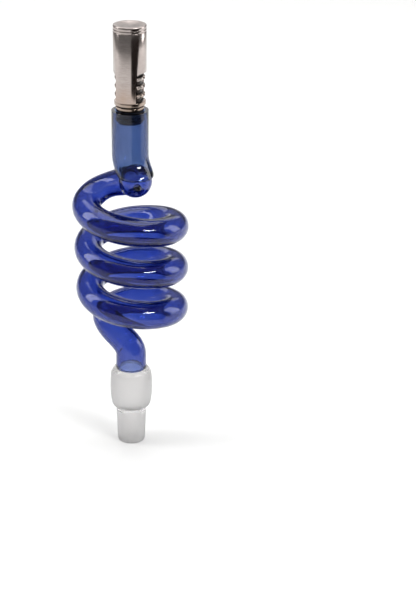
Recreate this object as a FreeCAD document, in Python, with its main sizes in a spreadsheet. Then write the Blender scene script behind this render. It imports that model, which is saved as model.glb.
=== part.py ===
# Hand-blown coil condenser in blue glass, with its capped steel tip seated in the top socket.
# Millimetres, +Z up. The origin is the centre of the ground joint's lower end, so the joint,
# the stem, the coil's axis, the socket, the tip and the cap all lie on Z.
import FreeCAD
import Part
import Sketcher
import os
import re
from math import cos, pi, radians, sin, tan

from FreeCAD import Placement, Rotation, Vector

SIZES = {
    # ground joint: a small ground cone, a larger ground barrel and a clear shoulder
    "joint_tip_dia": 9.5,
    "joint_neck_dia": 10.7,
    "joint_neck_top": 12.2,
    "barrel_low_dia": 13.9,
    "barrel_dia": 14.8,
    "barrel_low": 14.6,
    "barrel_mid": 20.0,
    "barrel_top": 24.2,
    "weld_height": 29.0,
    "weld_dia": 10.6,
    "joint_bore": 6.8,
    "barrel_bore": 11.6,
    "joint_lip_round": 0.4,
    "joint_step_round": 1.2,
    "joint_shoulder_round": 1.6,
    "joint_swell_round": 6.0,
    # blown tube: stem, bend, coil and the run up to the bulb
    "tube_dia": 9.6,
    "tube_bore": 7.2,
    "coil_dia": 29.9,
    "coil_pitch": 15.1,
    "coil_start": 89.9,
    "coil_taper": 0.9,
    "coil_drift": 0.7,
    # end bulb with its drawn-off drip tip
    "bulb_dia": 11.3,
    "bulb_wall": 1.2,
    "bulb_right": 1.7,
    "bulb_front": 3.0,
    "bulb_height": 99.7,
    "drip_reach": 7.3,
    "drip_dia": 2.6,
    "drip_turn": 5.0,
    "bulb_hole": 5.2,
    # socket tube
    "socket_dia": 12.4,
    "socket_bore": 10.0,
    "socket_round": 104.4,
    "socket_mouth": 123.5,
    "skirt_thick": 0.5,
    "skirt_angle": 45.0,
    # steel tip
    "tail_end": 119.3,
    "tail_ring_dia": 8.2,
    "tail_core_dia": 7.8,
    "tail_ridge_dia": 9.2,
    "ridge_low": 120.02,
    "ridge_pitch": 1.45,
    "ridge_width": 0.35,
    "flange_low": 125.6,
    "flange_top": 126.85,
    "flange_dia": 10.5,
    "flange_round": 0.35,
    "neck_dia": 9.4,
    "fin_low": 128.3,
    "fin_pitch": 2.85,
    "fin_width": 1.5,
    "fin_dia": 10.05,
    "fin_core_dia": 7.8,
    "notch_dia": 1.0,
    "notch_count": 16,
    "bowl_low": 139.0,
    "bowl_top": 149.1,
    "bowl_dia": 8.2,
    "bowl_bore": 6.6,
    "tip_bore": 4.8,
    "screen_thick": 0.4,
    "screen_hole_dia": 0.7,
    # rubber rings in the tail's two grooves
    "ring_section": 1.04,
    "ring_outer_dia": 9.94,
    # cap with its clip and two snap discs
    "cap_dia": 11.0,
    "cap_bore": 10.3,
    "cap_low": 126.95,
    "cap_top": 152.3,
    "cap_roof": 0.9,
    "cap_edge_round": 0.45,
    "bead_low": 150.3,
    "bead_width": 0.55,
    "bead_groove": 0.3,
    "bead_depth": 0.2,
    "strap_top": 136.8,
    "slot_width": 8.6,
    "slot_round": 1.6,
    "strap_turn": -18.5,
    "clip_low": 148.4,
    "clip_thick": 0.5,
    "clip_bore": 9.2,
    "clip_depth": 0.15,
    "clip_gap": 34.0,
    "disc_dia": 9.6,
    "disc_thick": 0.25,
    "disc_dish": 0.15,
    "disc_low": 149.25,
    "disc_step": 0.55,
}

TOP_ROUTE = (
    # centre line from the bulb down to the coil's first turn
    Vector(-1.2, 1.6, 98.2),
    Vector(-9.4, 6.2, 94.6),
    Vector(-15.0, 3.6, 90.6),
)
LOW_ROUTE = (
    # centre line from the coil's last turn to the stem on the axis
    Vector(-9.6, 9.6, 45.9),
    Vector(-7.4, 3.2, 43.0),
    Vector(0.0, 0.0, 36.8),
)
COIL_CORNERS = 12
COIL_FIRST = 195.0
COIL_LAST = 1185.0
ROUND_SHARE = 0.495
CORNER_MIDDLE = 0.29  # how far in from the corner a quarter circle's middle lies, in radii
SCREEN_RINGS = ((1, 0.0), (6, 0.34), (12, 0.68))

doc = FreeCAD.newDocument("condenser")
sheet = doc.addObject("Spreadsheet::Sheet", "Sizes")
for row, (alias, value) in enumerate(SIZES.items(), 1):
    sheet.set(f"A{row}", alias.replace("_", " "))
    sheet.set(f"B{row}", str(value))
    sheet.setAlias(f"B{row}", alias)
doc.recompute()


def bound(words):
    # an expression in the sheet's names, as FreeCAD's expression language writes it
    return re.sub(r"[a-z]\w+", r"Sizes.\g<0>", words)


def measure(words):
    # the present value of an expression in the sheet's names
    return float(sheet.evalExpression(bound(words)))


def origin_plane(body, role):
    return next(item for item in body.Origin.OriginFeatures if item.Role == role)


def outline(body, label, plane, corners):
    # closed straight-sided sketch whose corners are pairs of expressions
    sketch = body.newObject("Sketcher::SketchObject", label)
    sketch.AttachmentSupport = (origin_plane(body, plane), [""])
    sketch.MapMode = "FlatFace"
    points = [Vector(measure(across), measure(up), 0) for across, up in corners]
    count = len(points)
    for index, point in enumerate(points):
        sketch.addGeometry(Part.LineSegment(point, points[(index + 1) % count]))
    for index in range(count):
        sketch.addConstraint(Sketcher.Constraint("Coincident", index, 2, (index + 1) % count, 1))
    for index, words in enumerate(corners):
        for side, axis_line in ((0, -2), (1, -1)):
            value = points[index][side]
            if abs(value) < 1e-9:
                sketch.addConstraint(Sketcher.Constraint("PointOnObject", index, 1, axis_line))
                continue
            kind = "DistanceX" if side == 0 else "DistanceY"
            made = sketch.addConstraint(Sketcher.Constraint(kind, -1, 1, index, 1, value))
            sketch.setExpression(f"Constraints[{made}]", bound(words[side]))
    return sketch


def turned(name, corners, degrees=None):
    # body made by turning an outline of (radius, height) corners about Z
    body = doc.addObject("PartDesign::Body", name)
    sketch = outline(body, f"{name}_profile", "XZ_Plane", corners)
    turn = body.newObject("PartDesign::Revolution", f"{name}_turn")
    turn.Profile = sketch
    turn.ReferenceAxis = (sketch, ["V_Axis"])
    turn.Angle = 360.0
    if degrees:
        turn.setExpression("Angle", bound(degrees))
    sketch.Visibility = False
    body.Tip = turn
    doc.recompute()
    return body


def ring_edges(feature, places):
    # names of the circular edges about Z at the given (radius, height) expressions
    wanted = [(measure(radius), measure(height)) for radius, height in places]
    names = []
    for index, edge in enumerate(feature.Shape.Edges, 1):
        if not isinstance(edge.Curve, Part.Circle):
            continue
        here = (edge.Curve.Radius, edge.Curve.Center.z)
        if any(abs(here[0] - r) < 1e-4 and abs(here[1] - z) < 1e-4 for r, z in wanted):
            names.append(f"Edge{index}")
    return names


def round_rings(body, label, places, radius):
    # fillet on the circular edges at the given places
    base = body.Tip
    names = ring_edges(base, places)
    fillet = body.newObject("PartDesign::Fillet", label)
    fillet.Base = (base, names)
    fillet.setExpression("Radius", bound(radius))
    body.Tip = fillet
    doc.recompute()


def primitive(kind, label, sizes, place=None):
    # Part primitive whose properties and place are expressions
    made = doc.addObject(kind, label)
    for name, words in sizes.items():
        made.setExpression(name, bound(words))
    if place:
        for axis, words in zip("xyz", place):
            made.setExpression(f"Placement.Base.{axis}", bound(words))
    return made


def fused(label, *pieces):
    made = doc.addObject("Part::MultiFuse", label)
    made.Shapes = list(pieces)
    return made


def cut(label, base, *tools):
    made = doc.addObject("Part::Cut", label)
    made.Base = base
    made.Tool = tools[0] if len(tools) == 1 else fused(f"{label}_tools", *tools)
    return made


# Ground joint: one clear piece, ground on the small cone and on the barrel

ground_joint = turned("ground_joint", [
    ("joint_bore / 2", "0"),
    ("joint_tip_dia / 2", "0"),
    ("joint_neck_dia / 2", "joint_neck_top"),
    ("barrel_low_dia / 2", "barrel_low"),
    ("barrel_dia / 2", "barrel_mid"),
    ("barrel_dia / 2 - 0.1", "barrel_top"),
    ("barrel_dia / 2 - 0.5", "barrel_top + 2.2"),
    ("weld_dia / 2 + 1", "weld_height - 1"),
    ("weld_dia / 2", "weld_height"),
    ("tube_bore / 2", "weld_height"),
    ("barrel_bore / 2", "barrel_top - 0.6"),
    ("barrel_bore / 2", "barrel_low + 2"),
    ("joint_bore / 2", "joint_neck_top + 0.6"),
])
round_rings(ground_joint, "joint_lips", [
    ("joint_bore / 2", "0"),
    ("joint_tip_dia / 2", "0"),
], "joint_lip_round")
round_rings(ground_joint, "joint_step", [
    ("joint_neck_dia / 2", "joint_neck_top"),
    ("barrel_low_dia / 2", "barrel_low"),
], "joint_step_round")
round_rings(ground_joint, "joint_shoulder", [
    ("barrel_dia / 2 - 0.5", "barrel_top + 2.2"),
    ("weld_dia / 2 + 1", "weld_height - 1"),
], "joint_shoulder_round")
round_rings(ground_joint, "joint_swell", [
    ("barrel_dia / 2", "barrel_mid"),
], "joint_swell_round")


# Blown tube: the route of its centre line is straight runs joined by tangent arcs


def coil_corner(degrees):
    # corner of the many-sided helix whose sides touch the coil's centre line; the lower turns
    # are wound a little smaller and a little to the right
    down = (degrees - COIL_FIRST) / (COIL_LAST - COIL_FIRST)
    radius = measure("coil_dia / 2") - measure("coil_taper / 2") * down
    radius /= cos(pi / COIL_CORNERS)
    height = measure("coil_start") - measure("coil_pitch") * (degrees - 180.0) / 360.0
    angle = radians(degrees)
    across = radius * cos(angle) + measure("coil_drift") * down
    return Vector(across, radius * sin(angle), height)


def tube_route():
    step = 360.0 / COIL_CORNERS
    turns = round((COIL_LAST - COIL_FIRST) / step)
    coil = [coil_corner(COIL_FIRST + step * index) for index in range(turns + 1)]
    bulb = Vector(measure("bulb_right"), -measure("bulb_front"), measure("bulb_height"))
    foot = Vector(0, 0, measure("weld_height"))
    return [bulb, *TOP_ROUTE, *coil, *LOW_ROUTE, foot]


def smooth_wire(corners):
    # one wire along the corners, each rounded by an arc that reaches half way along its runs
    edges = []
    here = corners[0]
    for before, corner, after in zip(corners, corners[1:], corners[2:]):
        inward = (corner - before).normalize()
        outward = (after - corner).normalize()
        half_turn = inward.getAngle(outward) / 2
        shorter = min((corner - before).Length, (after - corner).Length)
        reach = shorter * ROUND_SHARE
        radius = reach / tan(half_turn)
        start = corner - inward * reach
        end = corner + outward * reach
        middle_way = (outward - inward).normalize()
        middle = corner + middle_way * (radius / cos(half_turn) - radius)
        edges.append(Part.LineSegment(here, start).toShape())
        edges.append(Part.Arc(start, middle, end).toShape())
        here = end
    edges.append(Part.LineSegment(here, corners[-1]).toShape())
    return Part.Wire(edges)


def swept(label, diameter):
    route = smooth_wire(tube_route())
    start = route.Edges[0]
    ring = Part.Circle(start.valueAt(start.FirstParameter), start.tangentAt(start.FirstParameter),
                       diameter / 2)
    made = doc.addObject("Part::Feature", label)
    made.Shape = route.makePipeShell([Part.Wire(ring.toShape())], True, False)
    expected = pi * diameter**2 / 4 * route.Length
    print(f"{label}: {made.Shape.Volume / expected:.4f} of section times length")
    return made


tube_outside = swept("tube_outside", measure("tube_dia"))
tube_inside = swept("tube_inside", measure("tube_bore"))

# End bulb: a ball drawn out to a solid drip, lying along its own axis

bulb_place = ("bulb_right", "-bulb_front", "bulb_height")
bulb_ball = primitive("Part::Sphere", "bulb_ball", {"Radius": "bulb_dia / 2"}, bulb_place)
bulb_hollow = primitive(
    "Part::Sphere", "bulb_hollow", {"Radius": "bulb_dia / 2 - bulb_wall"}, bulb_place)
lean = measure("bulb_dia / 2 - drip_dia / 2") / measure("drip_reach")
flank = (1 - lean**2) ** 0.5
drip_way = Rotation(Vector(0, 0, 1), measure("drip_turn")).multVec(Vector(0, -1, 0))
bulb_centre = Vector(measure("bulb_right"), -measure("bulb_front"), measure("bulb_height"))
drip_cone = doc.addObject("Part::Cone", "drip_cone")
drip_cone.Radius1 = measure("bulb_dia / 2") * flank
drip_cone.Radius2 = measure("drip_dia / 2") * flank
drip_cone.Height = measure("drip_reach") - measure("bulb_dia / 2 - drip_dia / 2") * lean
drip_cone.Placement = Placement(
    bulb_centre + drip_way * (measure("bulb_dia / 2") * lean),
    Rotation(Vector(0, 0, 1), drip_way))
drip_ball = doc.addObject("Part::Sphere", "drip_ball")
drip_ball.setExpression("Radius", bound("drip_dia / 2"))
drip_ball.Placement.Base = bulb_centre + drip_way * measure("drip_reach")
bulb_outside = fused("bulb_outside", bulb_ball, drip_cone, drip_ball)
bulb_hole = primitive(
    "Part::Cylinder", "bulb_opening",
    {"Radius": "bulb_hole / 2", "Height": "bulb_dia"},
    ("bulb_right / 2", "-bulb_front / 2", "bulb_height"))
end_bulb = cut("end_bulb", bulb_outside, bulb_hollow, tube_inside, bulb_hole)

# Coil tube: one length of tube from the bulb to the weld on the ground joint

coil_wall = cut("coil_wall", tube_outside, tube_inside)
coil_tube = cut("coil_tube", coil_wall, bulb_outside)

# Socket tube: round-ended and drawn down over the upper half of the bulb, to which it is sealed

socket_height = "socket_mouth - socket_round"
socket_column = primitive(
    "Part::Cylinder", "socket_column",
    {"Radius": "socket_dia / 2", "Height": socket_height}, ("0", "0", "socket_round"))
socket_end = primitive(
    "Part::Sphere", "socket_end", {"Radius": "socket_dia / 2"}, ("0", "0", "socket_round"))
socket_skirt = primitive("Part::Sphere", "socket_skirt", {
    "Radius": "bulb_dia / 2 + skirt_thick",
    "Angle1": "0",
    "Angle2": "skirt_angle",
}, bulb_place)
socket_outside = fused("socket_outside", socket_column, socket_end, socket_skirt)
socket_hole = primitive(
    "Part::Cylinder", "socket_hole",
    {"Radius": "socket_bore / 2", "Height": f"{socket_height} + 1"}, ("0", "0", "socket_round"))
socket_hollow = primitive(
    "Part::Sphere", "socket_hollow", {"Radius": "socket_bore / 2"}, ("0", "0", "socket_round"))
socket_inside = fused("socket_inside", socket_hole, socket_hollow)
socket_tube = cut("socket_tube", socket_outside, socket_inside, bulb_outside, tube_outside)

# Steel tip: tail with two ring grooves, flange, three notched fins and a bowl

tail_corners = []
for ridge in range(3):
    low = f"ridge_low + {ridge} * ridge_pitch"
    high = f"{low} + ridge_width"
    tail_corners += [
        ("tail_core_dia / 2", low),
        ("tail_ridge_dia / 2", low),
        ("tail_ridge_dia / 2", high),
    ]
    if ridge < 2:
        tail_corners.append(("tail_core_dia / 2", high))
fin_corners = []
for fin in range(3):
    low = f"fin_low + {fin} * fin_pitch"
    high = f"{low} + fin_width"
    fin_corners += [
        ("fin_core_dia / 2", low),
        ("fin_dia / 2", low),
        ("fin_dia / 2", high),
        ("fin_core_dia / 2", high),
    ]
tip_body = turned("tip_body", [
    ("tip_bore / 2", "tail_end"),
    ("tail_ring_dia / 2", "tail_end"),
    ("tail_ring_dia / 2", "tail_end + 0.45"),
    ("tail_core_dia / 2", "tail_end + 0.45"),
    *tail_corners,
    ("neck_dia / 2", "flange_low - 1.2"),
    ("neck_dia / 2", "flange_low"),
    ("flange_dia / 2", "flange_low + 0.2"),
    ("flange_dia / 2", "flange_top"),
    ("fin_core_dia / 2", "flange_top"),
    *fin_corners,
    ("fin_core_dia / 2", "fin_low + 3 * fin_pitch"),
    ("bowl_dia / 2", "fin_low + 3 * fin_pitch + 0.4"),
    ("bowl_dia / 2", "bowl_top"),
    ("bowl_bore / 2", "bowl_top"),
    ("bowl_bore / 2", "bowl_low"),
    ("tip_bore / 2", "bowl_low"),
])
fin_edges = []
for fin in range(3):
    fin_edges.append(("fin_dia / 2", f"fin_low + {fin} * fin_pitch"))
    fin_edges.append(("fin_dia / 2", f"fin_low + {fin} * fin_pitch + fin_width"))
round_rings(tip_body, "fin_rounds", fin_edges, "fin_width * 0.4")
round_rings(tip_body, "flange_rounds", [
    ("flange_dia / 2", "flange_low + 0.2"),
    ("flange_dia / 2", "flange_top"),
], "flange_round")
notch_sketch = tip_body.newObject("Sketcher::SketchObject", "notch_profile")
notch_sketch.AttachmentSupport = (origin_plane(tip_body, "XY_Plane"), [""])
notch_sketch.MapMode = "FlatFace"
notch_sketch.setExpression("AttachmentOffset.Base.z", bound("fin_low + 3 * fin_pitch"))
notch_sketch.addGeometry(
    Part.Circle(Vector(measure("fin_dia / 2"), 0, 0), Vector(0, 0, 1), measure("notch_dia / 2")))
notch_sketch.addConstraint(Sketcher.Constraint("PointOnObject", 0, 3, -1))
notch_radius = notch_sketch.addConstraint(
    Sketcher.Constraint("Radius", 0, measure("notch_dia / 2")))
notch_sketch.setExpression(f"Constraints[{notch_radius}]", bound("notch_dia / 2"))
notch_place = notch_sketch.addConstraint(
    Sketcher.Constraint("DistanceX", -1, 1, 0, 3, measure("fin_dia / 2")))
notch_sketch.setExpression(f"Constraints[{notch_place}]", bound("fin_dia / 2 + 0.1"))
notch = tip_body.newObject("PartDesign::Pocket", "notch")
notch.Profile = notch_sketch
notch.setExpression("Length", bound("fin_low + 3 * fin_pitch - flange_top - 0.5"))
notch_ring = tip_body.newObject("PartDesign::PolarPattern", "notches")
notch_ring.Originals = [notch]
notch_ring.Axis = (notch_sketch, ["N_Axis"])
notch_ring.Angle = 360.0
notch_ring.setExpression("Occurrences", bound("notch_count"))
tip_body.Tip = notch_ring
doc.recompute()

# Screen: a pressed disc with rings of small holes, resting on the ledge under the bowl

screen_plate = primitive(
    "Part::Cylinder", "screen_plate",
    {"Radius": "bowl_bore / 2 - 0.03", "Height": "screen_thick"}, ("0", "0", "bowl_low"))
screen_holes = []
for count, share in SCREEN_RINGS:
    for index in range(count):
        turn = 2 * pi * index / count
        across = f"{share * cos(turn):.4f} * bowl_bore / 2"
        along = f"{share * sin(turn):.4f} * bowl_bore / 2"
        screen_holes.append(primitive(
            "Part::Cylinder", f"screen_hole_{count}_{index}",
            {"Radius": "screen_hole_dia / 2", "Height": "screen_thick + 2"},
            (across, along, "bowl_low - 1")))
screen = cut("screen", screen_plate, *screen_holes)

# Rubber rings: one in each groove of the tail


def rubber_ring(label, groove):
    middle = f"ridge_low + {groove} * ridge_pitch + (ridge_pitch + ridge_width) / 2"
    return primitive("Part::Torus", label, {
        "Radius1": "(ring_outer_dia - ring_section) / 2",
        "Radius2": "ring_section / 2",
    }, ("0", "0", middle))


o_ring_lower = rubber_ring("o_ring_lower", 0)
o_ring_upper = rubber_ring("o_ring_upper", 1)

# Cap: thin shell with a bead near the top, milled through to leave two straps

cap_shell = turned("cap_shell", [
    ("cap_bore / 2", "cap_low"),
    ("cap_dia / 2", "cap_low"),
    ("cap_dia / 2", "bead_low - bead_groove"),
    ("cap_dia / 2 - bead_depth", "bead_low - bead_groove"),
    ("cap_dia / 2 - bead_depth", "bead_low"),
    ("cap_dia / 2", "bead_low"),
    ("cap_dia / 2", "bead_low + bead_width"),
    ("cap_dia / 2 - bead_depth", "bead_low + bead_width"),
    ("cap_dia / 2 - bead_depth", "bead_low + bead_width + bead_groove"),
    ("cap_dia / 2", "bead_low + bead_width + bead_groove"),
    ("cap_dia / 2", "cap_top"),
    ("0", "cap_top"),
    ("0", "cap_top - cap_roof"),
    ("cap_bore / 2", "cap_top - cap_roof"),
    ("cap_bore / 2", "clip_low + clip_thick + 0.02"),
    ("cap_bore / 2 + clip_depth", "clip_low + clip_thick + 0.02"),
    ("cap_bore / 2 + clip_depth", "clip_low - 0.02"),
    ("cap_bore / 2", "clip_low - 0.02"),
])
round_rings(cap_shell, "cap_edge", [("cap_dia / 2", "cap_top")], "cap_edge_round")
slot_sketch = outline(cap_shell, "slot_profile", "YZ_Plane", [
    ("-slot_width / 2", "cap_low - 1"),
    ("slot_width / 2", "cap_low - 1"),
    ("slot_width / 2", "strap_top - slot_round"),
    (f"slot_width / 2 - slot_round * {CORNER_MIDDLE}",
     f"strap_top - slot_round * {CORNER_MIDDLE}"),
    ("slot_width / 2 - slot_round", "strap_top"),
    ("slot_round - slot_width / 2", "strap_top"),
    (f"slot_round * {CORNER_MIDDLE} - slot_width / 2",
     f"strap_top - slot_round * {CORNER_MIDDLE}"),
    ("-slot_width / 2", "strap_top - slot_round"),
])
slot = cap_shell.newObject("PartDesign::Pocket", "slot")
slot.Profile = slot_sketch
slot.Type = "ThroughAll"
slot.Midplane = True
cap_shell.Tip = slot
cap_shell.Placement = Placement(Vector(), Rotation(Vector(0, 0, 1), measure("strap_turn")))

# Clip and snap discs: the open ring holds the two dished discs up against the cap's roof

retaining_clip = turned("retaining_clip", [
    ("clip_bore / 2", "clip_low"),
    ("cap_bore / 2 + clip_depth - 0.02", "clip_low"),
    ("cap_bore / 2 + clip_depth - 0.02", "clip_low + clip_thick"),
    ("clip_bore / 2", "clip_low + clip_thick"),
], "360 - clip_gap")


def snap_disc(label, place):
    low = f"disc_low + {place} * disc_step"
    return turned(label, [
        ("0", f"{low} + disc_dish"),
        ("disc_dia / 2", low),
        ("disc_dia / 2", f"{low} + disc_thick"),
        ("0", f"{low} + disc_dish + disc_thick"),
    ])


snap_disc_lower = snap_disc("snap_disc_lower", 0)
snap_disc_upper = snap_disc("snap_disc_upper", 1)

NODES = (
    ground_joint, coil_tube, end_bulb, socket_tube, tip_body, screen, o_ring_lower, o_ring_upper,
    cap_shell, retaining_clip, snap_disc_lower, snap_disc_upper,
)

doc.recompute()
for item in doc.Objects:
    if {"Invalid", "Error"} & set(item.State):
        raise SystemExit(f"{item.Label} is {item.State}")
os.makedirs("parts", exist_ok=True)
for node in NODES:
    shape = node.Shape
    if shape.isNull() or not shape.isValid() or len(shape.Solids) != 1:
        raise SystemExit(f"{node.Label} has no single valid solid: {len(shape.Solids)}")
    shape.exportStep(f"parts/{node.Label}.step")
    box = shape.BoundBox
    print(f"{node.Label}: {shape.Volume:.1f} mm3, x {box.XMin:.2f} {box.XMax:.2f}, "
          f"y {box.YMin:.2f} {box.YMax:.2f}, z {box.ZMin:.2f} {box.ZMax:.2f}")
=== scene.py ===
import math

import bmesh
import bpy
from mathutils import Matrix, Vector, noise


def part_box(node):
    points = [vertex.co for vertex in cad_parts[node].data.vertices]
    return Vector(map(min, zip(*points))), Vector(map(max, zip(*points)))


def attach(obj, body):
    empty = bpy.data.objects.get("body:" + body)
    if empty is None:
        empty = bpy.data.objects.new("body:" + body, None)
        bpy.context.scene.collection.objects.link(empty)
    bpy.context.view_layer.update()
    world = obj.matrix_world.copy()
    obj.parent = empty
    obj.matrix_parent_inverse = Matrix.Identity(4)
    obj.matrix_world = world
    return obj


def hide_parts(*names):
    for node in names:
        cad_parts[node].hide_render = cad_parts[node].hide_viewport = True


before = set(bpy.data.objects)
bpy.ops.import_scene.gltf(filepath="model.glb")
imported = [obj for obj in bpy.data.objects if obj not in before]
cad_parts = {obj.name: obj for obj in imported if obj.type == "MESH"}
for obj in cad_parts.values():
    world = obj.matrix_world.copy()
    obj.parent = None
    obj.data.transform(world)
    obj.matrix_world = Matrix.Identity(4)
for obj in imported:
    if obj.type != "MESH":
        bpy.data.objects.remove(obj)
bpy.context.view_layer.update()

mm = 0.001
borosilicateIor = 1.474


def linear(hexColour):
    # sRGB hex to the linear values that shaders take
    parts = [int(hexColour[i:i + 2], 16) / 255 for i in (1, 3, 5)]
    return [p / 12.92 if p <= 0.04045 else ((p + 0.055) / 1.055) ** 2.4 for p in parts] + [1.0]


def smoothStep(low, high, value):
    share = min(max((value - low) / (high - low), 0.0), 1.0)
    return share * share * (3 - 2 * share)


# ---- materials

def newMaterial(name):
    material = bpy.data.materials.new(name)
    material.use_nodes = True
    material.node_tree.nodes.clear()
    return material


def node(material, kind, settings=None, inputs=None):
    # one node with its settings; an input is a value or another node's output socket
    made = material.node_tree.nodes.new(kind)
    for key, value in (settings or {}).items():
        setattr(made, key, value)
    for key, value in (inputs or {}).items():
        if isinstance(value, bpy.types.NodeSocket):
            material.node_tree.links.new(value, made.inputs[key])
        else:
            made.inputs[key].default_value = value
    return made


def ramp(material, source, stops):
    # colour ramp with (position, hex or grey) stops
    made = node(material, "ShaderNodeValToRGB", None, {"Fac": source})
    elements = made.color_ramp.elements
    while len(elements) < len(stops):
        elements.new(0.5)
    for element, (place, shade) in zip(elements, stops):
        element.position = place
        element.color = linear(shade) if isinstance(shade, str) else (shade, shade, shade, 1)
    return made.outputs["Color"]


def finishMaterial(material, shader, volume=None):
    output = node(material, "ShaderNodeOutputMaterial", None, {"Surface": shader.outputs[0]})
    if volume:
        material.node_tree.links.new(volume.outputs[0], output.inputs["Volume"])
    return material


blownGlass = {
    "cobalt": {
        "tint": ("#dfe6ff", "#d2dcff"),  # faint streaks that the flame leaves in the surface
        "absorb": "#1876cd",
        "density": 1160.0,
        "roughness": (0.012, 0.035),
        "waveMm": 6.0,
        "waveHeightMm": 0.05,
    },
    "greyBlue": {
        "tint": ("#eef5ff", "#e6f0fb"),
        "absorb": "#2479bb",
        "density": 1100.0,
        "roughness": (0.012, 0.03),
        "waveMm": 9.0,
        "waveHeightMm": 0.025,
    },
}


def colouredGlass(name, look):
    # borosilicate coloured in the melt and worked in a flame: it looks clear and deep, its
    # surface rolls slightly, and its colour gathers where the eye looks along the wall
    material = newMaterial(name)
    place = node(material, "ShaderNodeTexCoord").outputs["Object"]
    streak = node(material, "ShaderNodeTexNoise", None, {
        "Vector": place, "Scale": 1 / (look["waveMm"] * mm), "Detail": 3.0, "Distortion": 0.6})
    tint = ramp(material, streak.outputs["Fac"], [(0.35, look["tint"][0]), (0.65, look["tint"][1])])
    low, high = look["roughness"]
    rough = node(material, "ShaderNodeMapRange", None, {
        "Value": streak.outputs["Fac"], "From Min": 0.3, "From Max": 0.7, "To Min": low,
        "To Max": high})
    roll = node(material, "ShaderNodeTexNoise", None, {
        "Vector": place, "Scale": 0.6 / (look["waveMm"] * mm), "Detail": 1.0})
    bump = node(material, "ShaderNodeBump", None, {
        "Height": roll.outputs["Fac"], "Strength": 1.0, "Distance": look["waveHeightMm"] * mm})
    shader = node(material, "ShaderNodeBsdfPrincipled", None, {
        "Base Color": tint, "Roughness": rough.outputs["Result"], "IOR": borosilicateIor,
        "Transmission Weight": 1.0, "Normal": bump.outputs["Normal"]})
    volume = node(material, "ShaderNodeVolumeAbsorption", None, {
        "Color": linear(look["absorb"]), "Density": look["density"]})
    return finishMaterial(material, shader, volume)


groundGlass = {
    "polished": 0.02,
    "matt": 0.5,
    "gritMm": 0.35,  # the real grit is about 0.03 mm, drawn coarser so that it shows
    "gritHeightMm": 0.02,
    "seats": ((0.0, 12.3), (14.4, 28.0)),  # heights that are ground, seats and shoulder
    "edgeMm": (0.5, 0.6),  # how softly each ground band starts and stops
    "patchy": 0.12,
    "gritStrength": 0.6,
    "tint": ("#f4f3f3", "#e9e8e8"),
    "melt": ("#ededed", 60.0),  # colour and density of the glass itself
}


def clearGroundGlass(name, look):
    # clear borosilicate ground with carborundum on its seats and shoulder, which are matt and
    # white, while the step between the two seats stays clear
    material = newMaterial(name)
    place = node(material, "ShaderNodeTexCoord").outputs["Object"]
    height = node(material, "ShaderNodeSeparateXYZ", None, {"Vector": place}).outputs["Z"]
    soft, softer = look["edgeMm"]
    ground = None
    for low, high in look["seats"]:
        rise = node(material, "ShaderNodeMapRange", {"interpolation_type": "SMOOTHSTEP"}, {
            "Value": height, "From Min": (low - soft) * mm, "From Max": (low + soft) * mm,
            "To Min": 0.0, "To Max": 1.0})
        fall = node(material, "ShaderNodeMapRange", {"interpolation_type": "SMOOTHSTEP"}, {
            "Value": height, "From Min": (high - softer) * mm,
            "From Max": (high + softer) * mm, "To Min": 1.0, "To Max": 0.0})
        band = node(material, "ShaderNodeMath", {"operation": "MULTIPLY"}, {
            0: rise.outputs["Result"], 1: fall.outputs["Result"]}).outputs[0]
        if ground is None:
            ground = band
        else:
            ground = node(material, "ShaderNodeMath", {"operation": "MAXIMUM"}, {
                0: ground, 1: band}).outputs[0]
    grit = node(material, "ShaderNodeTexNoise", None, {
        "Vector": place, "Scale": 1 / (look["gritMm"] * mm), "Detail": 4.0, "Roughness": 0.7})
    rough = node(material, "ShaderNodeMapRange", None, {
        "Value": ground, "To Min": look["polished"], "To Max": look["matt"]})
    patch = node(material, "ShaderNodeMath", {"operation": "MULTIPLY_ADD"}, {
        0: grit.outputs["Fac"], 1: look["patchy"], 2: rough.outputs["Result"]})
    worn = node(material, "ShaderNodeMath", {"operation": "SUBTRACT", "use_clamp": True}, {
        0: patch.outputs[0], 1: look["patchy"] / 2})
    tint = ramp(material, grit.outputs["Fac"], [(0.3, look["tint"][0]), (0.7, look["tint"][1])])
    bumpStrength = node(material, "ShaderNodeMath", {"operation": "MULTIPLY"}, {
        0: ground, 1: look["gritStrength"]})
    bump = node(material, "ShaderNodeBump", None, {
        "Height": grit.outputs["Fac"], "Strength": bumpStrength.outputs[0],
        "Distance": look["gritHeightMm"] * mm})
    shader = node(material, "ShaderNodeBsdfPrincipled", None, {
        "Base Color": tint, "Roughness": worn.outputs[0], "IOR": borosilicateIor,
        "Transmission Weight": 1.0, "Normal": bump.outputs["Normal"]})
    volume = node(material, "ShaderNodeVolumeAbsorption", None, {
        "Color": linear(look["melt"][0]), "Density": look["melt"][1]})
    return finishMaterial(material, shader, volume)


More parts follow.
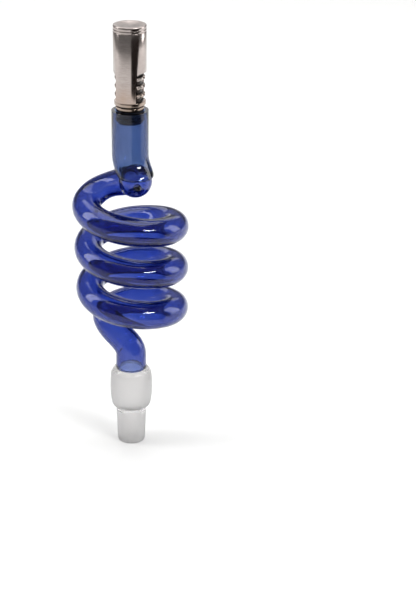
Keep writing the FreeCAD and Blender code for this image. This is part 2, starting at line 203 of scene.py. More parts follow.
steelLooks = {
    "cap": {
        "colours": ("#9e9490", "#beb4b0"),
        "roughness": (0.12, 0.2),
        "lineMm": 0.12,  # lathe and belt marks, drawn about three times as coarse as they are
        "lineHeightMm": 0.003,
        "heat": "#a58d7c",
        "heatMm": (128.0, 135.0),  # heights over which the straw tint fades out
        "tail": "#b0a6a1",  # the cap doesn't reach down to the tail, where the tip's painted shade goes
        "grooveShadeMm": (-2.0, -1.0),  # no radius is as small as that, so the cap has no painted groove shade
    },
    "tip": {
        "colours": ("#9d938e", "#c2b8b3"),
        "roughness": (0.15, 0.26),
        "lineMm": 0.16,
        "lineHeightMm": 0.004,
        "heat": "#9a8470",
        "heatMm": (127.0, 134.0),
        # the tail, which sits inside the socket, is painted this dark as painted shade
        "tail": "#3b3635",
        "grooveShadeMm": (4.1, 4.9),  # radii over which the painted shade in the grooves fades out
    },
}
steelShared = {
    # colour of the painted shade in the grooves between the fins
    "paintedGrooveShade": "#2c2725",
    "tailMm": (123.9, 124.5),  # heights over which the tail's painted shade ends
    "flatTopMm": (151.9, 152.0),  # heights over which the plain top begins
    "flatRoughness": 0.2,  # added on the top
    "cloudMm": 3.0,
    "lineSquash": (0.06, 0.06, 1.0),
    "lineStrength": 0.5,
    "pull": 0.3,  # how far the lathe marks stretch a highlight, none on the top
}


def turnedSteel(name, look):
    # austenitic stainless steel turned on a lathe and lightly belted: rings of fine marks
    # stretch its highlights up and down, heat has left a faint straw tint low down, the tail inside
    # the socket is painted dark as painted shade, the grooves are painted darker as painted shade,
    # and the flat top is plain
    shared = steelShared
    material = newMaterial(name)
    place = node(material, "ShaderNodeTexCoord").outputs["Object"]
    squeezed = node(material, "ShaderNodeMapping", None, {
        "Vector": place, "Scale": shared["lineSquash"]})
    lines = node(material, "ShaderNodeTexNoise", None, {
        "Vector": squeezed.outputs[0], "Scale": 1 / (look["lineMm"] * mm), "Detail": 3.0,
        "Roughness": 0.65})
    cloud = node(material, "ShaderNodeTexNoise", None, {
        "Vector": place, "Scale": 1 / (shared["cloudMm"] * mm), "Detail": 4.0})
    colour = ramp(material, lines.outputs["Fac"], [
        (0.32, look["colours"][0]), (0.68, look["colours"][1])])
    height = node(material, "ShaderNodeSeparateXYZ", None, {"Vector": place}).outputs["Z"]
    low = node(material, "ShaderNodeMapRange", {"interpolation_type": "SMOOTHSTEP"}, {
        "Value": height, "From Min": look["heatMm"][0] * mm,
        "From Max": look["heatMm"][1] * mm, "To Min": 1.0, "To Max": 0.0})
    share = node(material, "ShaderNodeMath", {"operation": "MULTIPLY"}, {
        0: low.outputs["Result"], 1: cloud.outputs["Fac"]})
    tinted = node(material, "ShaderNodeMix", {"data_type": "RGBA"}, {
        "Factor": share.outputs[0], 6: colour, 7: linear(look["heat"])})
    # painted shade: below these heights the tail is painted dark
    tail = node(material, "ShaderNodeMapRange", {"interpolation_type": "SMOOTHSTEP"}, {
        "Value": height, "From Min": shared["tailMm"][0] * mm,
        "From Max": shared["tailMm"][1] * mm, "To Min": 1.0, "To Max": 0.0})
    tailShaded = node(material, "ShaderNodeMix", {"data_type": "RGBA"}, {
        "Factor": tail.outputs["Result"], 6: tinted.outputs[2], 7: linear(look["tail"])})
    level = node(material, "ShaderNodeVectorMath", {"operation": "MULTIPLY"}, {
        0: place, 1: (1, 1, 0)})
    radius = node(material, "ShaderNodeVectorMath", {"operation": "LENGTH"}, {
        0: level.outputs["Vector"]})
    # painted shade: at small radii, in the grooves, the steel is painted darker
    paintedGrooveShade = node(material, "ShaderNodeMapRange", {"interpolation_type": "SMOOTHSTEP"}, {
        "Value": radius.outputs["Value"], "From Min": look["grooveShadeMm"][0] * mm,
        "From Max": look["grooveShadeMm"][1] * mm, "To Min": 1.0, "To Max": 0.0})
    grooveShaded = node(material, "ShaderNodeMix", {"data_type": "RGBA"}, {
        "Factor": paintedGrooveShade.outputs["Result"], 6: tailShaded.outputs[2],
        7: linear(shared["paintedGrooveShade"])})
    rough = node(material, "ShaderNodeMapRange", None, {
        "Value": cloud.outputs["Fac"], "From Min": 0.3, "From Max": 0.7,
        "To Min": look["roughness"][0], "To Max": look["roughness"][1]})
    flat = node(material, "ShaderNodeMapRange", None, {
        "Value": height, "From Min": shared["flatTopMm"][0] * mm,
        "From Max": shared["flatTopMm"][1] * mm, "To Min": 0.0, "To Max": 1.0})
    plain = node(material, "ShaderNodeMath", {"operation": "MULTIPLY_ADD"}, {
        0: flat.outputs["Result"], 1: shared["flatRoughness"], 2: rough.outputs["Result"]})
    pull = node(material, "ShaderNodeMath", {"operation": "MULTIPLY_ADD"}, {
        0: flat.outputs["Result"], 1: -shared["pull"], 2: shared["pull"]})
    bump = node(material, "ShaderNodeBump", None, {
        "Height": lines.outputs["Fac"], "Strength": shared["lineStrength"],
        "Distance": look["lineHeightMm"] * mm})
    around = node(material, "ShaderNodeTangent", {"direction_type": "RADIAL", "axis": "Z"})
    shader = node(material, "ShaderNodeBsdfPrincipled", None, {
        "Base Color": grooveShaded.outputs[2], "Metallic": 1.0, "Roughness": plain.outputs[0],
        "Anisotropic": pull.outputs[0], "Tangent": around.outputs[0],
        "Normal": bump.outputs["Normal"]})
    return finishMaterial(material, shader)


rubberLook = {
    "colours": ("#0d0d0e", "#1b1b1d"),
    "roughness": (0.38, 0.62),
    "grainMm": 0.3,
    "grainHeightMm": 0.01,
    "ior": 1.52,
}


def mouldedRubber(name, look):
    # black nitrile rubber, moulded: a soft low gloss with a fine dusty grain
    material = newMaterial(name)
    place = node(material, "ShaderNodeTexCoord").outputs["Object"]
    grain = node(material, "ShaderNodeTexNoise", None, {
        "Vector": place, "Scale": 1 / (look["grainMm"] * mm), "Detail": 4.0})
    dark, pale = look["colours"]
    colour = ramp(material, grain.outputs["Fac"], [(0.3, dark), (0.7, pale)])
    rough = node(material, "ShaderNodeMapRange", None, {
        "Value": grain.outputs["Fac"], "To Min": look["roughness"][0],
        "To Max": look["roughness"][1]})
    bump = node(material, "ShaderNodeBump", None, {
        "Height": grain.outputs["Fac"], "Strength": 0.4,
        "Distance": look["grainHeightMm"] * mm})
    shader = node(material, "ShaderNodeBsdfPrincipled", None, {
        "Base Color": colour, "Roughness": rough.outputs["Result"], "IOR": look["ior"],
        "Normal": bump.outputs["Normal"]})
    return finishMaterial(material, shader)


stripLook = {
    "colours": ("#8f8273", "#b3a694"),
    "roughness": (0.24, 0.4),
    "markMm": 0.15,
    "markSquash": (0.05, 1.0, 1.0),
}


def rolledStrip(name, look):
    # bimetal strip, rolled and stamped: straight rolling marks and a warm grey
    material = newMaterial(name)
    place = node(material, "ShaderNodeTexCoord").outputs["Object"]
    stretched = node(material, "ShaderNodeMapping", None, {
        "Vector": place, "Scale": look["markSquash"]})
    marks = node(material, "ShaderNodeTexNoise", None, {
        "Vector": stretched.outputs[0], "Scale": 1 / (look["markMm"] * mm), "Detail": 3.0})
    dark, pale = look["colours"]
    colour = ramp(material, marks.outputs["Fac"], [(0.3, dark), (0.7, pale)])
    rough = node(material, "ShaderNodeMapRange", None, {
        "Value": marks.outputs["Fac"], "To Min": look["roughness"][0],
        "To Max": look["roughness"][1]})
    shader = node(material, "ShaderNodeBsdfPrincipled", None, {
        "Base Color": colour, "Metallic": 1.0, "Roughness": rough.outputs["Result"]})
    return finishMaterial(material, shader)


cobaltGlass = colouredGlass("cobaltBlownGlass", blownGlass["cobalt"])
greyBlueGlass = colouredGlass("greyBlueBlownGlass", blownGlass["greyBlue"])
clearGlass = clearGroundGlass("clearGroundGlass", groundGlass)
capSteel = turnedSteel("beltedCapSteel", steelLooks["cap"])
tipSteel = turnedSteel("turnedTipSteel", steelLooks["tip"])
blackRubber = mouldedRubber("mouldedRubber", rubberLook)
discStrip = rolledStrip("rolledBimetal", stripLook)
print("materials made")


# ---- ways of making a piece

def pieceFrom(form, name, material, sharp=None):
    # a mesh object from a bmesh, shaded smooth, with the edges past an angle left sharp
    for face in form.faces:
        face.smooth = True
    mesh = bpy.data.meshes.new(name)
    form.to_mesh(mesh)
    form.free()
    if sharp:
        mesh.set_sharp_from_angle(angle=math.radians(sharp))
    piece = bpy.data.objects.new(name, mesh)
    bpy.context.scene.collection.objects.link(piece)
    mesh.materials.append(material)
    return piece


def spun(outline, steps, closed=True):
    # outline of (radius, height) in mm turned round Z; one that isn't closed starts and ends on Z
    form = bmesh.new()
    verts = [form.verts.new((r * mm, 0, z * mm)) for r, z in outline]
    edges = [form.edges.new((a, b)) for a, b in zip(verts, verts[1:])]
    if closed:
        edges.append(form.edges.new((verts[-1], verts[0])))
    bmesh.ops.spin(form, geom=verts + edges, axis=(0, 0, 1), cent=(0, 0, 0),
                   angle=2 * math.pi, steps=steps, use_merge=True, use_duplicate=False)
    bmesh.ops.remove_doubles(form, verts=form.verts, dist=0.002 * mm)
    bmesh.ops.recalc_face_normals(form, faces=form.faces)
    return form


def softenRings(form, width, least, segments=2):
    # bevel every edge where two faces meet at more than the least angle
    sharp = [e for e in form.edges if e.is_manifold
             and abs(e.calc_face_angle_signed(0.0)) > math.radians(least)]
    bmesh.ops.bevel(form, geom=sharp, offset=width * mm, offset_type="OFFSET",
                    segments=segments, profile=0.5, affect="EDGES", material=-1,
                    clamp_overlap=True)


def curved(points, steps):
    # a smooth outline through a few (radius, height) points, as a quadratic spline's arcs
    line = [Vector(p) for p in points]
    middles = [(a + b) / 2 for a, b in zip(line, line[1:])]
    made = [tuple(line[0])]
    for index, corner in enumerate(line[1:-1]):
        start, end = middles[index], middles[index + 1]
        for step in range(steps + 1):
            t = step / steps
            made.append(tuple(start * (1 - t) ** 2 + corner * 2 * t * (1 - t) + end * t * t))
    made.append(tuple(line[-1]))
    return made


def solidChange(piece, cutters, operation="DIFFERENCE"):
    # the piece's mesh joined with each cutter, or with each taken away; the cutters go
    for cutter in cutters:
        change = piece.modifiers.new("change", "BOOLEAN")
        change.operation = operation
        change.object = cutter
        change.solver = "MANIFOLD"
    graph = bpy.context.evaluated_depsgraph_get()
    mesh = bpy.data.meshes.new_from_object(piece.evaluated_get(graph))
    piece.modifiers.clear()
    old = piece.data
    piece.data = mesh
    bpy.data.meshes.remove(old)
    for cutter in cutters:
        bpy.data.objects.remove(cutter)


def splinePoints(corners, detail):
    # points along a smooth spline whose control points are the given corners
    curve = bpy.data.curves.new("route", "CURVE")
    curve.dimensions = "3D"
    spline = curve.splines.new("NURBS")
    spline.points.add(len(corners) - 1)
    for point, corner in zip(spline.points, corners):
        point.co = (*corner, 1)
    spline.order_u = 3
    spline.use_endpoint_u = True
    spline.resolution_u = detail
    holder = bpy.data.objects.new("route", curve)
    bpy.context.scene.collection.objects.link(holder)
    graph = bpy.context.evaluated_depsgraph_get()
    mesh = bpy.data.meshes.new_from_object(holder.evaluated_get(graph))
    points = [v.co.copy() for v in mesh.vertices]
    bpy.data.meshes.remove(mesh)
    bpy.data.objects.remove(holder)
    bpy.data.curves.remove(curve)
    return points


def sweptRod(points, radii, sides):
    # closed rod: one ring extruded along the points, each ring at its own radius
    form = bmesh.new()
    way = (points[1] - points[0]).normalized()
    turn = way.to_track_quat("Z", "Y")
    ring = bmesh.ops.create_circle(form, segments=sides, radius=radii[0], cap_ends=False,
                                   matrix=Matrix.Translation(points[0]) @ turn.to_matrix().to_4x4())
    edges = list(form.edges)
    bmesh.ops.edgeloop_fill(form, edges=edges)
    for index in range(1, len(points)):
        after = points[min(index + 1, len(points) - 1)]
        nextWay = (after - points[index - 1]).normalized()
        change = way.rotation_difference(nextWay)
        grown = bmesh.ops.extrude_edge_only(form, edges=edges)["geom"]
        verts = [g for g in grown if isinstance(g, bmesh.types.BMVert)]
        edges = [g for g in grown if isinstance(g, bmesh.types.BMEdge)]
        size = radii[index] / radii[index - 1]
        move = (Matrix.Translation(points[index]) @ change.to_matrix().to_4x4()
                @ Matrix.Scale(size, 4) @ Matrix.Translation(-points[index - 1]))
        bmesh.ops.transform(form, matrix=move, verts=verts)
        way = nextWay
    bmesh.ops.edgeloop_fill(form, edges=edges)
    bmesh.ops.recalc_face_normals(form, faces=form.faces)
    return form


# ---- blown tube: stem, bend, coil, the run up, the bulb and its drip, in one length

blownTube = {
    "outerMm": 4.8,
    "wallMm": 1.2,
    "coilMm": 14.95,
    "taperMm": 0.45,
    "driftMm": 0.7,
    "pitchMm": 15.1,
    "startMm": 89.9,
    "firstDeg": 195,
    "lastDeg": 1185,
    "cornersPerTurn": 12,
    "thinMm": 0.45,  # the run up to the bulb was drawn a little thinner
    "thinAtMm": (-7.5, 5.2, 95.4),
    "unevenMm": 0.1,
    "stemMm": 0.5,  # the stem is a little thicker than the coil
    "footFlareMm": 0.12,
    "sides": 64,
    "detail": 6,
}
topRoute = ((-1.2, 1.6, 98.2), (-9.4, 6.2, 94.6), (-15.0, 3.6, 90.6))
lowRoute = ((-9.6, 9.6, 45.9), (-7.4, 3.2, 43.0), (0.0, 0.0, 36.8))
bulb = {
    "ballMm": 5.65,
    "placeMm": (1.7, -3.0, 99.7),
    "wallMm": 1.1,
    "reachMm": 8.5,
    "beadMm": 1.3,
    "shoulderDeg": 48,  # where the ball gives way to the drip, from the drip's axis
    "dripOutMm": ((2.9, 5.2), (1.15, 6.0), (1.15, 6.9)),
    "dripInMm": ((2.2, 4.1), (0.75, 5.2), (0.0, 6.6)),
    "turnDeg": 5,
    "holeMm": 1.4,
    "holeAtMm": (0.3, -2.0),
    "steps": 96,
}
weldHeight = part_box("ground_joint")[1][2] / mm


def coilCorners(tube):
    # corners of the helix, whose lower turns are a little smaller and further right
    step = 360 / tube["cornersPerTurn"]
    count = round((tube["lastDeg"] - tube["firstDeg"]) / step)
    corners = []
    for index in range(count + 1):
        degrees = tube["firstDeg"] + step * index
        down = index / count
        radius = (tube["coilMm"] - tube["taperMm"] * down) / math.cos(math.radians(step / 2))
        angle = math.radians(degrees)
        height = tube["startMm"] - tube["pitchMm"] * (degrees - 180) / 360
        corners.append((radius * math.cos(angle) + tube["driftMm"] * down,
                        radius * math.sin(angle), height))
    return corners


def blownRod(tube, thinner, below):
    # the tube's route from its foot to the middle of the bulb, as a solid rod
    foot = [(0, 0, weldHeight - below), (0, 0, weldHeight + 2)]
    corners = [*foot, *reversed(lowRoute), *reversed(coilCorners(tube)), *reversed(topRoute),
               bulb["placeMm"]]
    points = splinePoints([Vector(c) * mm for c in corners], tube["detail"])
    thin = Vector(tube["thinAtMm"])
    radii = []
    for point in points:
        place = point / mm
        radius = tube["outerMm"] - thinner + tube["unevenMm"] * noise.noise(place * 0.11)
        radius -= tube["thinMm"] * math.exp(-((place - thin).length / 5.0) ** 2)
        radius += tube["stemMm"] * (1 - smoothStep(5.5, 12.0, place.z - weldHeight))
        radius += tube["footFlareMm"] * (1 - smoothStep(0.4, 1.8, place.z - weldHeight))
        radii.append(radius * mm)
    return sweptRod(points, radii, tube["sides"])


def ballForm(look, thinner, tipped):
    # the blown ball, drawn out in front: outside to a waisted drip with a round bead at its
    # end, and inside a little way into the drip
    ball = look["ballMm"] - thinner
    outline = []
    for step in range(25):
        angle = math.radians(180 - (180 - look["shoulderDeg"]) * step / 24)
        outline.append((ball * math.sin(angle), ball * math.cos(angle)))
    drawn = look["dripOutMm"] if tipped else look["dripInMm"]
    outline += curved((outline.pop(), *drawn), 6)
    if tipped:
        outline.pop()
        bead, reach = look["beadMm"], look["reachMm"]
        for step in range(9):
            angle = math.radians(115 - 115 * step / 8)
            outline.append((bead * math.sin(angle), reach - bead + bead * math.cos(angle)))
    outline[0] = (0.0, -ball)
    outline[-1] = (0.0, outline[-1][1])
    form = spun(outline, look["steps"], closed=False)
    drip = Vector((math.sin(math.radians(look["turnDeg"])),
                   -math.cos(math.radians(look["turnDeg"])), 0))
    turn = drip.to_track_quat("Z", "Y").to_matrix().to_4x4()
    place = Matrix.Translation(Vector(look["placeMm"]) * mm)
    bmesh.ops.transform(form, matrix=place @ turn, verts=form.verts)
    return form


def blownOutside(inset):
    # the outside of the tube and the bulb as one solid, drawn in by inset
    piece = pieceFrom(blownRod(blownTube, inset, 0.1), "blown_tube", cobaltGlass)
    solidChange(piece, [pieceFrom(ballForm(bulb, inset, True), "cutter", cobaltGlass)], "UNION")
    return piece


def holeForm(look):
    # the opening blown through the bulb's top into the socket
    form = bmesh.new()
    middle = Vector((*look["holeAtMm"], look["placeMm"][2] + 4)) * mm
    bmesh.ops.create_cone(form, cap_ends=True, segments=64, radius1=look["holeMm"] * mm,
                          radius2=look["holeMm"] * mm, depth=8 * mm,
                          matrix=Matrix.Translation(middle))
    return form


tubePiece = blownOutside(0.0)
insides = (blownRod(blownTube, blownTube["wallMm"], 1.0),
           ballForm(bulb, bulb["wallMm"], False), holeForm(bulb))
solidChange(tubePiece, [pieceFrom(form, "cutter", cobaltGlass) for form in insides])
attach(tubePiece, "glass")
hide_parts("coil_tube", "end_bulb")
print("blown tube made", len(tubePiece.data.polygons))


# ---- socket tube, sealed over the bulb and the top of the run

socket = {
    "outerMm": 6.2,
    "boreMm": 5.0,
    "mouthMm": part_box("socket_tube")[1][2] / mm,
    "lipMm": 0.45,
    "sides": 96,
    "sealMm": 0.08,  # how far the sealed end sinks into the blown glass
    # height, shift right, shift back, change of radius, from the straight tube to the seal
    "rings": (
        (108.0, 0.0, 0.0, 0.0), (106.8, 0.1, -0.18, 0.0), (105.7, 0.32, -0.58, 0.02),
        (104.7, 0.62, -1.1, 0.06), (103.8, 0.95, -1.7, 0.1), (103.0, 1.25, -2.2, 0.1),
        (102.3, 1.5, -2.65, 0.06), (101.8, 1.65, -2.9, 0.0), (101.5, 1.7, -3.0, -0.08),
        (101.25, 1.7, -3.0, -0.25), (101.1, 1.7, -3.0, -0.7)),
}


def socketRod(look, thinner, top):
    # level rings from the mouth down to the rounded end, as a solid rod
    points = [Vector((0, 0, top * mm)), Vector((0, 0, 112 * mm))]
    radii = [(look["outerMm"] - thinner) * mm] * 2
    for height, right, back, change in look["rings"]:
        lift = thinner * smoothStep(104, 98, height)
        points.append(Vector((right, back, height + lift)) * mm)
        radii.append(max(look["outerMm"] + change - thinner, 1.0) * mm)
    form = bmesh.new()
    ring = bmesh.ops.create_circle(form, segments=look["sides"], radius=radii[0],
                                   cap_ends=False, matrix=Matrix.Translation(points[0]))
    edges = list(form.edges)
    bmesh.ops.edgeloop_fill(form, edges=edges)
    for index in range(1, len(points)):
        grown = bmesh.ops.extrude_edge_only(form, edges=edges)["geom"]
        verts = [g for g in grown if isinstance(g, bmesh.types.BMVert)]
        edges = [g for g in grown if isinstance(g, bmesh.types.BMEdge)]
        move = (Matrix.Translation(points[index])
                @ Matrix.Scale(radii[index] / radii[index - 1], 4)
                @ Matrix.Translation(-points[index - 1]))
        bmesh.ops.transform(form, matrix=move, verts=verts)
    bmesh.ops.edgeloop_fill(form, edges=edges)
    bmesh.ops.recalc_face_normals(form, faces=form.faces)
    return form


def makeSocket(look):
    wall = look["outerMm"] - look["boreMm"]
    piece = pieceFrom(socketRod(look, 0.0, look["mouthMm"]), "socket_glass", greyBlueGlass)
    bore = pieceFrom(socketRod(look, wall, look["mouthMm"] + 2), "cutter", greyBlueGlass)
    solidChange(piece, [bore, blownOutside(look["sealMm"])])
    form = bmesh.new()
    form.from_mesh(piece.data)
    rim = [e for e in form.edges
           if all(v.co.z > (look["mouthMm"] - 0.01) * mm for v in e.verts)
           and abs(e.calc_face_angle_signed(0.0)) > math.radians(60)]
    bmesh.ops.bevel(form, geom=rim, offset=look["lipMm"] * mm, offset_type="OFFSET",
                    segments=6, profile=0.5, affect="EDGES", material=-1, clamp_overlap=True)
    for face in form.faces:
        face.smooth = True
    form.to_mesh(piece.data)
    form.free()
    return piece


socketPiece = makeSocket(socket)
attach(socketPiece, "glass")
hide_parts("socket_tube")
print("socket made", len(socketPiece.data.polygons))


# ---- ground joint

joint = {
    "outside": (
        (4.75, 0.0), (4.9, 2.0), (5.35, 12.0), (5.4, 13.0), (5.9, 13.8), (6.75, 14.5),
        (7.05, 16.0), (7.36, 18.5), (7.42, 21.5), (7.38, 24.0), (7.25, 26.2), (6.7, 27.7),
        (6.0, 28.6), (5.4, 29.0)),
    "inside": (
        (3.6, 29.0), (3.65, 28.3), (4.6, 26.6), (5.7, 24.8), (5.85, 22.0), (5.75, 17.5),
        (5.0, 15.2), (3.75, 13.6), (3.45, 12.4), (3.4, 6.0), (3.4, 0.0)),
    "steps": 128,
}


def makeJoint(look):
    outline = curved(look["outside"], 4) + curved(look["inside"], 4)
    form = spun(outline, look["steps"])
    softenRings(form, 0.35, least=50, segments=4)
    return pieceFrom(form, "ground_joint_glass", clearGlass)


jointPiece = makeJoint(joint)
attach(jointPiece, "glass")
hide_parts("ground_joint")
print("ground joint made")


# ---- steel tip

tip = {
    "tailRidges": (120.02, 1.45, 0.35),  # first height, pitch, width
    "fins": (128.3, 2.85, 1.5),
    "finMm": 5.08,
    "coreMm": 3.9,
    "notches": 16,
    "notchDepthMm": 0.55,
    "stepsPerNotch": 12,
}


def tipOutline(look):
    low, pitch, width = look["tailRidges"]
    core = look["coreMm"]
    outline = [(2.4, 119.3), (4.1, 119.3), (4.1, 119.75), (core, 119.75)]
    for ridge in range(3):
        start = low + ridge * pitch
        outline += [(core, start), (4.6, start), (4.6, start + width)]
        if ridge < 2:
            outline.append((core, start + width))
    outline += [(4.7, 124.2), (4.8, 125.0), (4.3, 125.1), (4.3, 125.6), (5.25, 125.75),
                (5.25, 126.85), (core, 126.85)]
    low, pitch, width = look["fins"]
    for fin in range(3):
        start = low + fin * pitch
        top = look["finMm"]
        outline += [(core, start), (top - 0.45, start + 0.05), (top - 0.1, start + 0.35),
                    (top, start + width / 2), (top - 0.1, start + width - 0.35),
                    (top - 0.45, start + width - 0.05), (core, start + width)]
    outline += [(core, 136.9), (4.1, 137.3), (4.1, 149.1), (3.3, 149.1), (3.3, 139.0),
                (2.4, 139.0)]
    return outline


def makeTip(look):
    form = spun(tipOutline(look), look["notches"] * look["stepsPerNotch"])
    low, pitch, width = look["fins"]
    high = low + 2 * pitch + width
    for vert in form.verts:
        radius = math.hypot(vert.co.x, vert.co.y) / mm
        height = vert.co.z / mm
        if radius < look["coreMm"] + 0.1 or not low - 0.1 < height < high + 0.1:
            continue
        angle = math.atan2(vert.co.y, vert.co.x) / (2 * math.pi) * look["notches"]
        near = abs(angle - round(angle))
        cut = look["notchDepthMm"] * (1 - smoothStep(0.1, 0.24, near))
        size = (radius - cut) / radius
        bmesh.ops.scale(form, vec=(size, size, 1), verts=[vert])
    softenRings(form, 0.06, least=40)
    return pieceFrom(form, "turned_tip", tipSteel, sharp=50)


tipPiece = makeTip(tip)
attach(tipPiece, "tip")
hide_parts("tip_body")
print("tip made")


# ---- rubber rings

def makeRing(name, cadNode):
    low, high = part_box(cadNode)
    section = (high[2] - low[2]) / 2
    middle = (high[2] + low[2]) / 2
    form = bmesh.new()
    centre = Vector((high[0] - section, 0, middle))
    turn = Matrix.Translation(centre) @ Matrix.Rotation(math.pi / 2, 4, "X")
    ring = bmesh.ops.create_circle(form, segments=20, radius=section, matrix=turn)
    edges = list(form.edges)
    bmesh.ops.spin(form, geom=ring["verts"] + edges, axis=(0, 0, 1), cent=(0, 0, 0),
                   angle=2 * math.pi, steps=96, use_merge=True, use_duplicate=False)
    bmesh.ops.remove_doubles(form, verts=form.verts, dist=0.002 * mm)
    bmesh.ops.recalc_face_normals(form, faces=form.faces)
    piece = pieceFrom(form, name, blackRubber)
    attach(piece, "tip_seals")
    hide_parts(cadNode)


makeRing("rubber_ring_lower", "o_ring_lower")
makeRing("rubber_ring_upper", "o_ring_upper")


# ---- cap

cap = {
    "outerMm": 5.5,
    "boreMm": 5.15,
    "lowMm": 126.95,
    "topMm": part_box("cap_shell")[1][2] / mm,
    "roofMm": 0.9,
    "beadMm": (150.3, 0.55, 0.3, 0.2),  # height, width, groove width, groove depth
    "recessMm": (4.3, 0.08),
    "windowTopMm": 136.8,
    "windowWideMm": 8.6,
    "windowRoundMm": 1.6,
    "turnDeg": -18.5,
    "steps": 192,
}


def capOutline(look):
    low, width, groove, depth = look["beadMm"]
    outer, bore, top = look["outerMm"], look["boreMm"], look["topMm"]
    roof = top - look["roofMm"]
    recess, sunk = look["recessMm"]
    return [
        (bore, look["lowMm"]), (outer, look["lowMm"]), (outer, low - groove),
        (outer - depth, low - groove), (outer - depth, low), (outer, low), (outer, low + width),
        (outer - depth, low + width), (outer - depth, low + width + groove),
        (outer, low + width + groove), (outer, top - 0.4), (outer - 0.12, top - 0.12),
        (outer - 0.4, top), (recess, top), (recess - 0.1, top - sunk), (0.01, top - sunk),
        (0.01, roof), (bore, roof), (bore, 148.92), (bore + 0.15, 148.92),
        (bore + 0.15, 148.38), (bore, 148.38)]


def windowCutter(look):
    # a bar as wide as the windows, with its two upper edges rounded, laid right through
    form = bmesh.new()
    low, high = look["lowMm"] - 2, look["windowTopMm"]
    size = Matrix.Diagonal((20 * mm, look["windowWideMm"] * mm, (high - low) * mm, 1))
    place = Matrix.Translation((0, 0, (low + high) / 2 * mm))
    bmesh.ops.create_cube(form, size=1, matrix=place @ size)
    corners = [e for e in form.edges
               if all(v.co.z > (high - 0.1) * mm for v in e.verts)
               and abs(e.verts[0].co.y - e.verts[1].co.y) < 0.1 * mm]
    bmesh.ops.bevel(form, geom=corners, offset=look["windowRoundMm"] * mm, segments=8,
                    profile=0.5, affect="EDGES", material=-1)
    turn = Matrix.Rotation(math.radians(look["turnDeg"]), 4, "Z")
    bmesh.ops.transform(form, matrix=turn, verts=form.verts)
    return pieceFrom(form, "cutter", capSteel)


def makeCap(look):
    form = spun(capOutline(look), look["steps"])
    softenRings(form, 0.05, least=40)
    piece = pieceFrom(form, "drawn_cap", capSteel, sharp=50)
    solidChange(piece, [windowCutter(look)])
    edge = piece.modifiers.new("edges", "BEVEL")
    edge.width = 0.05 * mm
    edge.segments = 2
    edge.limit_method = "ANGLE"
    edge.angle_limit = math.radians(50)
    solidChange(piece, [])
    return piece


capPiece = makeCap(cap)
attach(capPiece, "cap")
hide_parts("cap_shell")
for name, material in (("screen", tipSteel), ("retaining_clip", tipSteel),
                       ("snap_disc_lower", discStrip), ("snap_disc_upper", discStrip)):
    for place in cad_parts[name].material_slots:
        place.material = material
print("cap made")


# ---- floor, lights and camera

studio = {
    "floor": ("#f3f3f2", "#f6f6f5"),
    "floorSize": 4.0,
    "world": "#ffffff",
    "worldStrength": 0.24,
    # name: place, width, height, power
    "lights": {
        "overhead": ((0.0, 0.25, 1.1), 1.2, 1.2, 9.6),
        "front_right": ((0.72, -0.62, 0.75), 0.45, 0.12, 6),
        "right_panel": ((0.75, 0.15, 0.3), 0.35, 0.5, 1.8),
        "left_panel": ((-0.85, 0.05, 0.6), 0.34, 0.95, 4.6),
    },
    "lightsAim": (0, 0, 0.08),
    "back": ((0.0, 1.0, 0.5), 0.9, 0.4, 1.1),
    "backAim": (0, 0, 0.12),
    "cardMiddle": (0.11, -0.14, 0.085),
    "cardFacing": (0.11, -0.14, 0.0),
    "cardSize": (0.2, 0.17),
    "cardColour": "#2a2422",
}


def makeFloor():
    form = bmesh.new()
    bmesh.ops.create_grid(form, x_segments=1, y_segments=1, size=studio["floorSize"])
    material = newMaterial("matt_floor")
    place = node(material, "ShaderNodeTexCoord").outputs["Object"]
    cloud = node(material, "ShaderNodeTexNoise", None, {"Vector": place, "Scale": 3.0})
    dark, pale = studio["floor"]
    colour = ramp(material, cloud.outputs["Fac"], [(0.3, dark), (0.7, pale)])
    shader = node(material, "ShaderNodeBsdfPrincipled", None, {
        "Base Color": colour, "Roughness": 0.9, "Specular IOR Level": 0.1})
    floor = pieceFrom(form, "floor", finishMaterial(material, shader))


def areaLight(name, place, target, wide, tall, power):
    data = bpy.data.lights.new(name, "AREA")
    data.shape = "RECTANGLE"
    data.size = wide
    data.size_y = tall
    data.energy = power
    lamp = bpy.data.objects.new(name, data)
    lamp.location = place
    lamp.rotation_euler = (Vector(target) - Vector(place)).to_track_quat("-Z", "Y").to_euler()
    lamp.visible_camera = False
    bpy.context.scene.collection.objects.link(lamp)


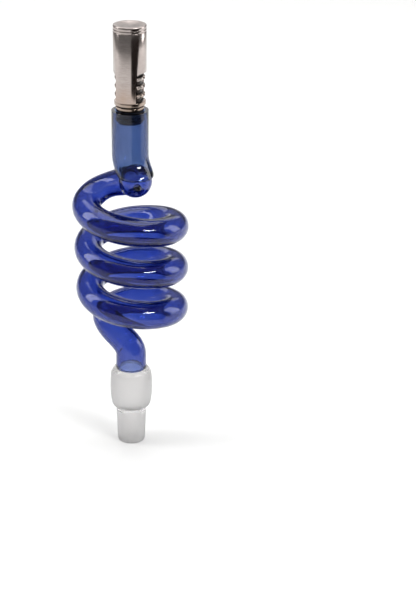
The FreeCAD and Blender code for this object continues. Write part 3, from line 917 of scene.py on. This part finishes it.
def makeFlag(name, middle, facing, wide, tall):
    # dark card seen only in reflections: it draws the dark band that runs down polished steel
    form = bmesh.new()
    bmesh.ops.create_grid(form, x_segments=1, y_segments=1, size=1.0)
    turn = Vector(facing).to_track_quat("Z", "Y").to_matrix().to_4x4()
    size = Matrix.Diagonal((wide / 2, tall / 2, 1, 1))
    place = Matrix.Translation(Vector(middle))
    bmesh.ops.transform(form, matrix=place @ turn @ size, verts=form.verts)
    material = newMaterial(f"{name}_card")
    shader = node(material, "ShaderNodeBsdfDiffuse", None, {
        "Color": linear(studio["cardColour"])})
    flag = pieceFrom(form, name, finishMaterial(material, shader))
    for kind in ("camera", "diffuse", "transmission", "shadow", "volume_scatter"):
        setattr(flag, f"visible_{kind}", False)


makeFloor()
makeFlag("side_flag", studio["cardMiddle"], studio["cardFacing"], *studio["cardSize"])
for name, (place, wide, tall, power) in studio["lights"].items():
    areaLight(name, place, studio["lightsAim"], wide, tall, power)
place, wide, tall, power = studio["back"]
areaLight("back_panel", place, studio["backAim"], wide, tall, power)

world = bpy.data.worlds.new("studio")
bpy.context.scene.world = world
world.use_nodes = True
world.node_tree.nodes["Background"].inputs[0].default_value = linear(studio["world"])
world.node_tree.nodes["Background"].inputs[1].default_value = studio["worldStrength"]

view = {
    "distance": 0.480,
    "height": 0.275,
    "downDeg": 23.5,
    "lens": 91.35,
    "shift": (0.1290, -0.0509),
    "leanDeg": -0.26,
}
lens = bpy.data.cameras.new("camera")
lens.lens = view["lens"]
lens.shift_x, lens.shift_y = view["shift"]
lens.clip_start = 0.01
camera = bpy.data.objects.new("camera", lens)
camera.location = (0, -view["distance"], view["height"])
camera.rotation_euler = (
    Matrix.Rotation(math.radians(90 - view["downDeg"]), 3, "X")
    @ Matrix.Rotation(math.radians(view["leanDeg"]), 3, "Z")).to_euler()
bpy.context.scene.collection.objects.link(camera)
bpy.context.scene.camera = camera

scene = bpy.context.scene
scene.view_settings.view_transform = "Standard"
scene.cycles.max_bounces = 32
scene.cycles.transmission_bounces = 32
scene.cycles.transparent_max_bounces = 16
